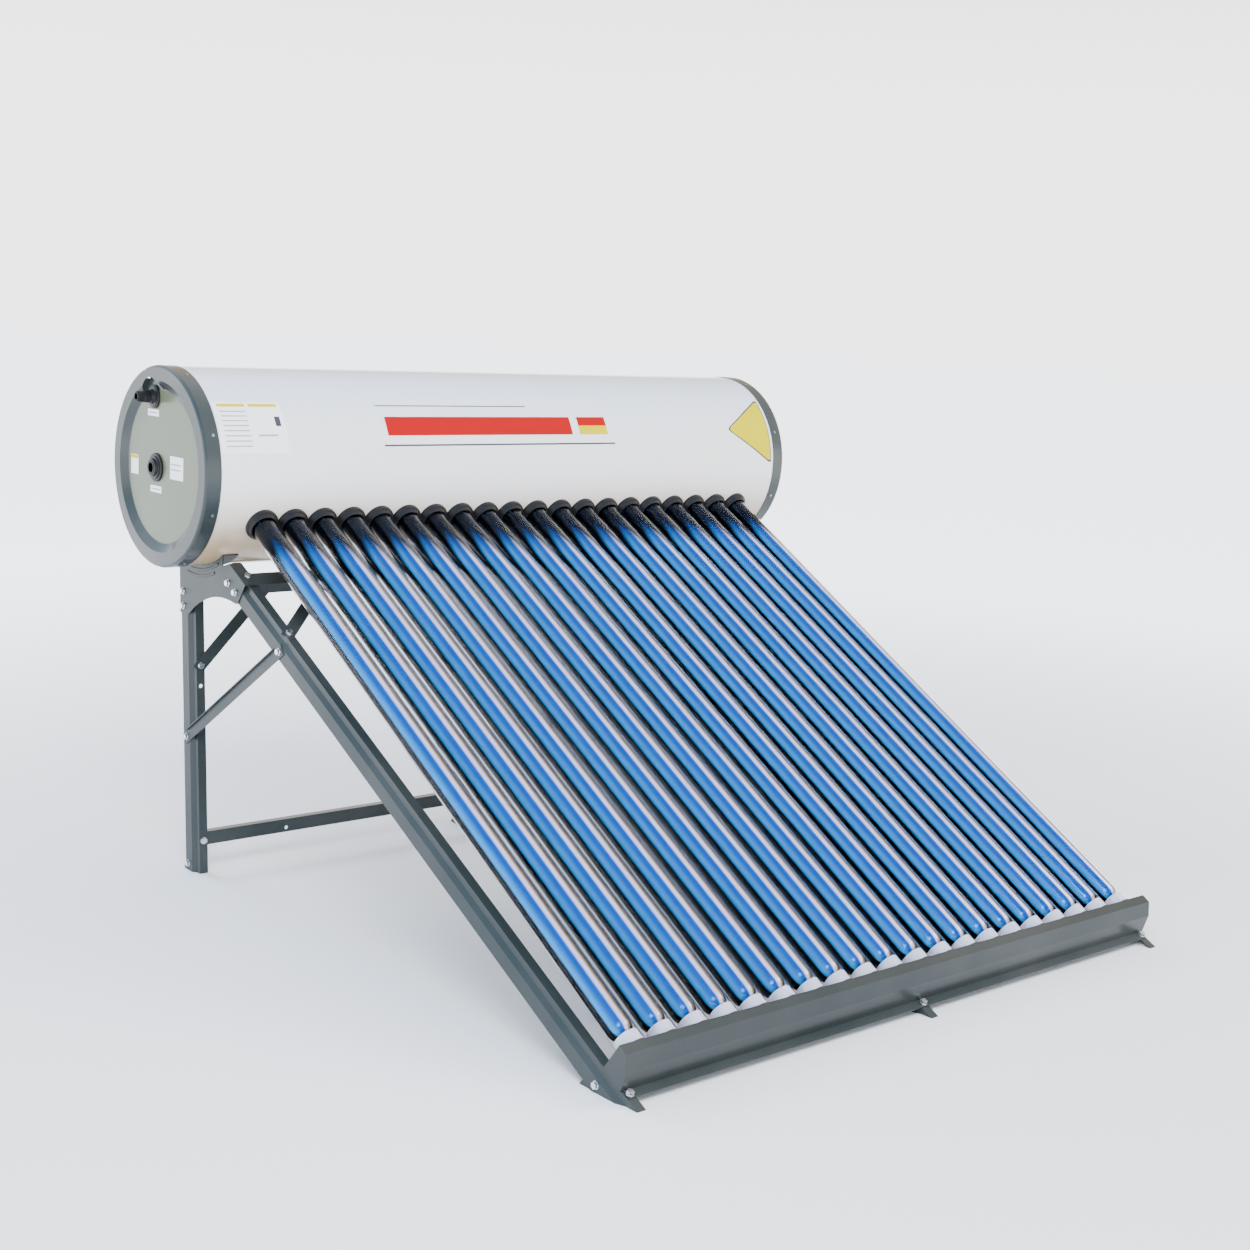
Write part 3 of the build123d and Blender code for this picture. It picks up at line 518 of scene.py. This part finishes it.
class HEATER_OT_beads(bpy.types.Operator):
    """Pressed beads that stiffen the saddles' webs"""
    bl_idname = "heater.beads"
    bl_label = "Saddle beads"

    def execute(self, context):
        rise, half_width, sunk = 0.0022, 0.0042, 0.0002
        for side_name, outward in (("left", -1), ("right", 1)):
            low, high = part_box(f"tank_saddle_{side_name}")
            face = low[0] if outward < 0 else high[0]
            bm = bmesh.new()
            for radius, start, end in ((0.2475, -13, 27), (0.262, -9, 21)):
                ring = [bm.verts.new((face + outward * -sunk + outward * rise * math.sin(a), 0,
                                      -radius + half_width * math.cos(a)))
                        for a in [math.pi * i / 6 for i in range(7)]]
                edges = closed_loop(bm, ring)
                cap = bm.faces.new(ring)
                lean = Matrix.Rotation(math.radians(-start), 3, "X")
                bmesh.ops.rotate(bm, verts=ring, cent=(0, 0, 0), matrix=lean)
                bmesh.ops.spin(bm, geom=[*ring, *edges, cap], cent=(0, 0, 0), axis=(1, 0, 0),
                               dvec=(0, 0, 0), angle=math.radians(start - end), steps=28,
                               use_merge=False, use_duplicate=False)
                bmesh.ops.translate(bm, verts=connected(ring), vec=(0, AXIS_Y, AXIS_Z))
            finish_piece(bm, f"saddle_beads_{side_name}", "stand_paint", crease=60)
        return {"FINISHED"}


class HEATER_OT_labels(bpy.types.Operator):
    """Blank labels on the near cap and the front of the tank"""
    bl_idname = "heater.labels"
    bl_label = "Labels"

    def execute(self, context):
        gap = context.scene.heater_tank.label_gap
        skin = SHELL_RADIUS + gap
        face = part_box("inlet_grommet")[1][0] - gap
        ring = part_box("end_cap_left")[0][0]
        labels = ("label_white", "label_yellow", "label_grey", "label_dark", "label_red")
        plates = (
            ("label_white", (0.056, 0.214), (0.029, 0.019), ring + 0.0004),
            ("label_white", (0.049, 0.124), (0.057, 0.016), face),
            ("label_white", (0.146, -0.006), (0.039, 0.047), face),
            ("label_white", (-0.071, 0.002), (0.066, 0.054), face),
            ("label_white", (0.034, -0.056), (0.057, 0.016), face),
            ("label_yellow", (0.146, 0.0125), (0.037, 0.008), face - 0.0003),
            ("label_grey", (0.049, 0.124), (0.045, 0.003), face - 0.0003),
            ("label_grey", (0.034, -0.056), (0.045, 0.003), face - 0.0003),
            ("label_grey", (-0.067, 0.010), (0.048, 0.003), face - 0.0003),
            ("label_grey", (-0.067, -0.002), (0.048, 0.003), face - 0.0003),
        )
        meshes = {name: bmesh.new() for name in labels}
        for name, centre, size, x in plates:
            dish_plate(meshes[name], (AXIS_Y + centre[0], AXIS_Z + centre[1]), size, x)
        x0 = TANK_MIDDLE - 0.878
        patches = [
            ("label_white", (x0, x0 + 0.175), (12, 44), 0),
            ("label_yellow", (x0 + 0.012, x0 + 0.082), (40.5, 42.5), 1),
            ("label_yellow", (x0 + 0.092, x0 + 0.165), (40.5, 42.5), 1),
            ("label_grey", (x0 + 0.100, x0 + 0.150), (22, 23), 1),
            ("label_dark", (x0 + 0.150, x0 + 0.164), (28, 34), 1),
            ("label_red", (TANK_MIDDLE - 0.425, TANK_MIDDLE + 0.150), (22, 34), 0),
            ("label_red", (TANK_MIDDLE + 0.175, TANK_MIDDLE + 0.270), (28, 34), 0),
            ("label_yellow", (TANK_MIDDLE + 0.175, TANK_MIDDLE + 0.270), (22, 28), 0),
            ("label_dark", (TANK_MIDDLE - 0.440, TANK_MIDDLE + 0.290), (15.5, 16.5), 0),
            ("label_dark", (TANK_MIDDLE - 0.440, TANK_MIDDLE + 0.020), (41.5, 42.2), 0),
        ]
        patches += [("label_grey", (x0 + 0.014, x0 + 0.080), (a, a + 0.7), 1) for a in range(16, 38, 3)]
        for name, x_range, angles, level in patches:
            curved_patch(meshes[name], x_range, angles, skin + level * 0.0003, 0.0002)
        self.sign(meshes["label_dark"], skin, 0.0, 0)
        self.sign(meshes["label_yellow"], skin, 0.003, 1)
        for name, bm in meshes.items():
            finish_piece(bm, f"{name}s", name)
        return {"FINISHED"}

    def sign(self, bm, skin, inset, level):
        """A plain three-cornered sign wrapped on the skin, its long side along the far cap."""
        point, edge = TANK_MIDDLE + 0.712 + 1.9 * inset, TANK_MIDDLE + 0.873 - inset
        low_angle, high_angle, middle = 2.0 + 500 * inset, 48.0 - 500 * inset, 25.0
        rows = 22
        strips = []
        for lift in (0.0, 0.0002):
            radius = skin + level * 0.0003 + lift
            strip = []
            for j in range(rows + 1):
                angle = low_angle + (high_angle - low_angle) * j / rows
                t = abs(angle - middle) / (high_angle - middle)
                turn = math.radians(angle)
                place = (AXIS_Y - radius * math.cos(turn), AXIS_Z + radius * math.sin(turn))
                left = max(point + (edge - point) * t * 0.94, point + 0.006)
                strip.append([bm.verts.new((x, *place)) for x in (left, edge)])
            strips.append(strip)
        low, high = strips
        for strip in strips:
            for a, b in zip(strip, strip[1:]):
                bm.faces.new((a[0], a[1], b[1], b[0]))
        for side in (0, 1):
            for j in range(rows):
                bm.faces.new((low[j][side], low[j + 1][side], high[j + 1][side], high[j][side]))
        for end in (0, -1):
            bm.faces.new((low[end][0], low[end][1], high[end][1], high[end][0]))


class HEATER_OT_stage(bpy.types.Operator):
    """Floor, backdrop light and camera"""
    bl_idname = "heater.stage"
    bl_label = "Stage"

    def execute(self, context):
        p = context.scene.heater_stage
        bm = bmesh.new()
        bmesh.ops.create_grid(bm, x_segments=1, y_segments=1, size=60.0)
        mesh = bpy.data.meshes.new("floor")
        bm.to_mesh(mesh)
        bm.free()
        floor = bpy.data.objects.new("floor", mesh)
        context.scene.collection.objects.link(floor)
        s = shade("floor")
        x, y = s.place()[:2]
        glow = s.mix((x * x + y * y).maths("SQRT").step(1.6, 6.5), (0.0, 0.0, 0.0), (1.0, 1.0, 1.0))
        mesh.materials.append(s.surface(Base_Color=tuple(p.floor), Roughness=0.9, Specular_IOR_Level=0.1,
                                        Emission_Color=glow, Emission_Strength=2.3))
        lights = (
            ("key", (-3.2, -3.4, 4.6), 3.0, p.key, (1.0, 0.985, 0.96)),
            ("fill", (3.4, -2.6, 3.6), 3.0, p.key * 0.35, (1.0, 0.97, 0.93)),
            ("back", (-1.5, 4.5, 3.8), 2.5, p.key * 0.5, (0.93, 0.96, 1.0)),
        )
        for name, spot, size, power, colour in lights:
            data = bpy.data.lights.new(name, "AREA")
            data.shape = "DISK"
            data.size = size
            data.energy = power
            data.color = colour
            lamp = bpy.data.objects.new(name, data)
            context.scene.collection.objects.link(lamp)
            lamp.location = spot
            lamp.rotation_euler = (Vector((0, 0, 0.5)) - Vector(spot)).to_track_quat("-Z", "Y").to_euler()
            lamp.visible_glossy = False
        self.sky(context)
        camera_data = bpy.data.cameras.new("camera")
        camera_data.lens = p.lens
        camera_data.sensor_width = 36.0
        camera = bpy.data.objects.new("camera", camera_data)
        context.scene.collection.objects.link(camera)
        yaw, pitch, roll = (math.radians(a) for a in (40.784, 9.581, 2.8))
        ahead = Vector((math.sin(yaw) * math.cos(pitch), math.cos(yaw) * math.cos(pitch), -math.sin(pitch)))
        level = Vector((math.cos(yaw), -math.sin(yaw), 0))
        upright = level.cross(ahead)
        right = level * math.cos(roll) + upright * math.sin(roll)
        up = upright * math.cos(roll) - level * math.sin(roll)
        turn = Matrix((right, up, -ahead)).transposed().to_4x4()
        camera.matrix_world = Matrix.Translation((-2.8758, -3.2733, 1.4144)) @ turn
        context.scene.camera = camera
        return {"FINISHED"}

    def sky(self, context):
        """A soft surround: blue overhead, pale at the sides, warm low down beyond the far end."""
        world = bpy.data.worlds.new("surround")
        context.scene.world = world
        s = Shade(world)
        split = s.node("ShaderNodeSeparateXYZ")
        s.feed(split.inputs[0], s.node("ShaderNodeTexCoord").outputs["Generated"])
        x, y, z = (Socket(s, out) for out in split.outputs)
        square = z * math.cos(SLOPE) - y * math.sin(SLOPE)
        turn = x.maths("ARCTAN2", square) * (180 / math.pi)
        colour = s.mix(turn.step(-80, -45), (0.62, 0.82, 1.0), (0.30, 0.52, 0.95))
        colour = s.mix(turn.step(-14, 14), colour, (0.97, 0.97, 1.0))
        colour = s.mix(turn.step(38, 60), colour, (0.62, 0.50, 0.34))
        colour = s.mix(1.0 - z.step(0.16, 0.30), colour, (1.0, 1.0, 1.0))
        back = s.node("ShaderNodeBackground")
        s.feed(back.inputs[0], colour)
        s.feed(back.inputs[1], (1.0 - z.step(0.10, 0.30)) * 1.7 + 1.9)
        s.feed(s.node("ShaderNodeOutputWorld").inputs[0], back.outputs[0])


OPERATORS = (
    HEATER_OT_finishes, HEATER_OT_tubes, HEATER_OT_seals, HEATER_OT_connections,
    HEATER_OT_beads, HEATER_OT_labels, HEATER_OT_stage,
)


class VIEW3D_PT_heater(bpy.types.Panel):
    bl_label = "Solar Water Heater"
    bl_space_type = "VIEW_3D"
    bl_region_type = "UI"
    bl_category = "Heater"

    def draw(self, context):
        for group in ("heater_tubes", "heater_tank", "heater_stage"):
            settings = getattr(context.scene, group)
            for name in settings.__annotations__:
                self.layout.prop(settings, name)
        for operator in OPERATORS:
            self.layout.operator(operator.bl_idname)


GROUPS = {"heater_tubes": HeaterTubes, "heater_tank": HeaterTank, "heater_stage": HeaterStage}


def register():
    for cls in (*GROUPS.values(), *OPERATORS, VIEW3D_PT_heater):
        bpy.utils.register_class(cls)
    for name, group in GROUPS.items():
        setattr(bpy.types.Scene, name, PointerProperty(type=group))


def unregister():
    for name in GROUPS:
        delattr(bpy.types.Scene, name)
    for cls in (VIEW3D_PT_heater, *reversed(OPERATORS), *reversed(GROUPS.values())):
        bpy.utils.unregister_class(cls)


def main():
    register()
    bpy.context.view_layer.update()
    bpy.ops.heater.finishes()
    bpy.ops.heater.tubes()
    bpy.ops.heater.seals()
    bpy.ops.heater.connections()
    bpy.ops.heater.beads()
    bpy.ops.heater.labels()
    bpy.ops.heater.stage()


if __name__ == "__main__":
    main()
